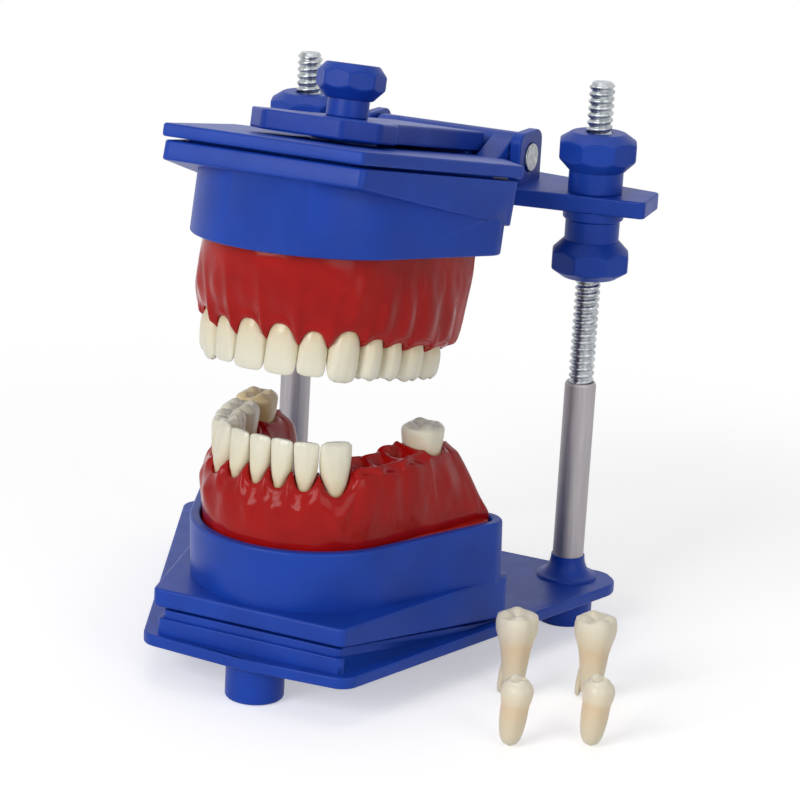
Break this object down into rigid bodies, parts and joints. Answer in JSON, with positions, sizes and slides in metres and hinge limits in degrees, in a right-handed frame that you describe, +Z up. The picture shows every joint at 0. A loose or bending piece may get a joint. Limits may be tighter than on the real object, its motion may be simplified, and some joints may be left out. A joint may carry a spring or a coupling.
{
  "type": "dental articulator",
  "caption": "Dental articulator with clamped upper and lower jaw models, threaded posts and a height-adjustable hinged bridge.",
  "frame": {"origin": "centre of the front foot's sole on the floor", "axes": "+X to the patient's left, +Y from the front teeth to the posts, +Z up"},
  "size_m": [0.1544, 0.1164, 0.1478],
  "materials": {
    "blue_plastic": "satin, layered",
    "threaded_rod": "zinc plated, satin",
    "sleeve_metal": "matte, fine lengthwise scratches",
    "pin_steel": "satin",
    "gum_resin": "glossy",
    "tooth_resin": "glossy",
    "loose_tooth_resin": "satin to glossy"
  },
  "bodies": {
    "base": {"base_plate": "blue_plastic", "front_foot": "blue_plastic", "rear_foot_left": "blue_plastic", "rear_foot_right": "blue_plastic", "sleeve_left": "sleeve_metal", "sleeve_right": "sleeve_metal", "rod_left": "threaded_rod", "rod_right": "threaded_rod", "lower_tray": "blue_plastic", "lower_gum": "gum_resin", "lower_tooth_r1": "tooth_resin", "lower_tooth_r2": "tooth_resin", "lower_tooth_r3": "tooth_resin", "lower_tooth_r4": "tooth_resin", "lower_tooth_r5": "tooth_resin", "lower_tooth_r6": "tooth_resin", "lower_tooth_r7": "tooth_resin", "lower_tooth_l1": "tooth_resin", "lower_tooth_l2": "tooth_resin", "lower_tooth_l3": "tooth_resin", "lower_tooth_l7": "tooth_resin", "loose_molar_1": "loose_tooth_resin", "loose_molar_2": "loose_tooth_resin", "loose_premolar_1": "loose_tooth_resin", "loose_premolar_2": "loose_tooth_resin"},
    "bridge": {"bridge": "blue_plastic", "hinge_pin": "pin_steel"},
    "upper_frame": {"upper_frame": "blue_plastic", "clamp_bar": "blue_plastic", "upper_tray": "blue_plastic", "upper_gum": "gum_resin", "upper_tooth_r1": "tooth_resin", "upper_tooth_r2": "tooth_resin", "upper_tooth_r3": "tooth_resin", "upper_tooth_r4": "tooth_resin", "upper_tooth_r5": "tooth_resin", "upper_tooth_r6": "tooth_resin", "upper_tooth_r7": "tooth_resin", "upper_tooth_l1": "tooth_resin", "upper_tooth_l2": "tooth_resin", "upper_tooth_l3": "tooth_resin", "upper_tooth_l4": "tooth_resin", "upper_tooth_l5": "tooth_resin", "upper_tooth_l6": "tooth_resin", "upper_tooth_l7": "tooth_resin"},
    "clamp_knob": {"clamp_knob": "blue_plastic"},
    "lower_clamp_knob": {"lower_clamp_knob": "blue_plastic"},
    "nut_upper_left": {"nut_upper_left": "blue_plastic"},
    "nut_upper_right": {"nut_upper_right": "blue_plastic"},
    "nut_lower_left": {"nut_lower_left": "blue_plastic"},
    "nut_lower_right": {"nut_lower_right": "blue_plastic"}
  },
  "joints": [
    {"name": "bridge_height", "type": "slide", "parent": "base", "child": "bridge", "axis": [0, 0, 1], "range_m": [0, 0.006]},
    {"name": "jaw_hinge", "type": "hinge", "parent": "bridge", "child": "upper_frame", "pos_m": [0, 0.0918, 0.1192], "axis": [-1, 0, 0], "range_deg": [-9, 30]},
    {"name": "clamp_knob_turn", "type": "hinge", "parent": "upper_frame", "child": "clamp_knob", "pos_m": [0, 0.03269, 0.12952], "axis": [0, 0.1719, 0.9851], "continuous": true},
    {"name": "lower_clamp_knob_turn", "type": "hinge", "parent": "base", "child": "lower_clamp_knob", "pos_m": [0, 0.02539, 0.0091], "axis": [0, 0, 1], "continuous": true},
    {"name": "nut_upper_left_turn", "type": "hinge", "parent": "bridge", "child": "nut_upper_left", "pos_m": [0.0407, 0.0918, 0.113], "axis": [0, 0, 1], "range_deg": [-1300, 1300]},
    {"name": "nut_upper_right_turn", "type": "hinge", "parent": "bridge", "child": "nut_upper_right", "pos_m": [-0.0407, 0.0918, 0.113], "axis": [0, 0, 1], "range_deg": [-1300, 1300]},
    {"name": "nut_lower_left_turn", "type": "hinge", "parent": "bridge", "child": "nut_lower_left", "pos_m": [0.0407, 0.0918, 0.1062], "axis": [0, 0, 1], "range_deg": [-1300, 1300]},
    {"name": "nut_lower_right_turn", "type": "hinge", "parent": "bridge", "child": "nut_lower_right", "pos_m": [-0.0407, 0.0918, 0.1062], "axis": [0, 0, 1], "range_deg": [-1300, 1300]}
  ],
  "couplings": [
    {"joint": "nut_upper_left_turn", "follows": "bridge_height", "rad_per_m": 3590.4},
    {"joint": "nut_upper_right_turn", "follows": "bridge_height", "rad_per_m": 3590.4},
    {"joint": "nut_lower_left_turn", "follows": "bridge_height", "rad_per_m": 3590.4},
    {"joint": "nut_lower_right_turn", "follows": "bridge_height", "rad_per_m": 3590.4}
  ]
}
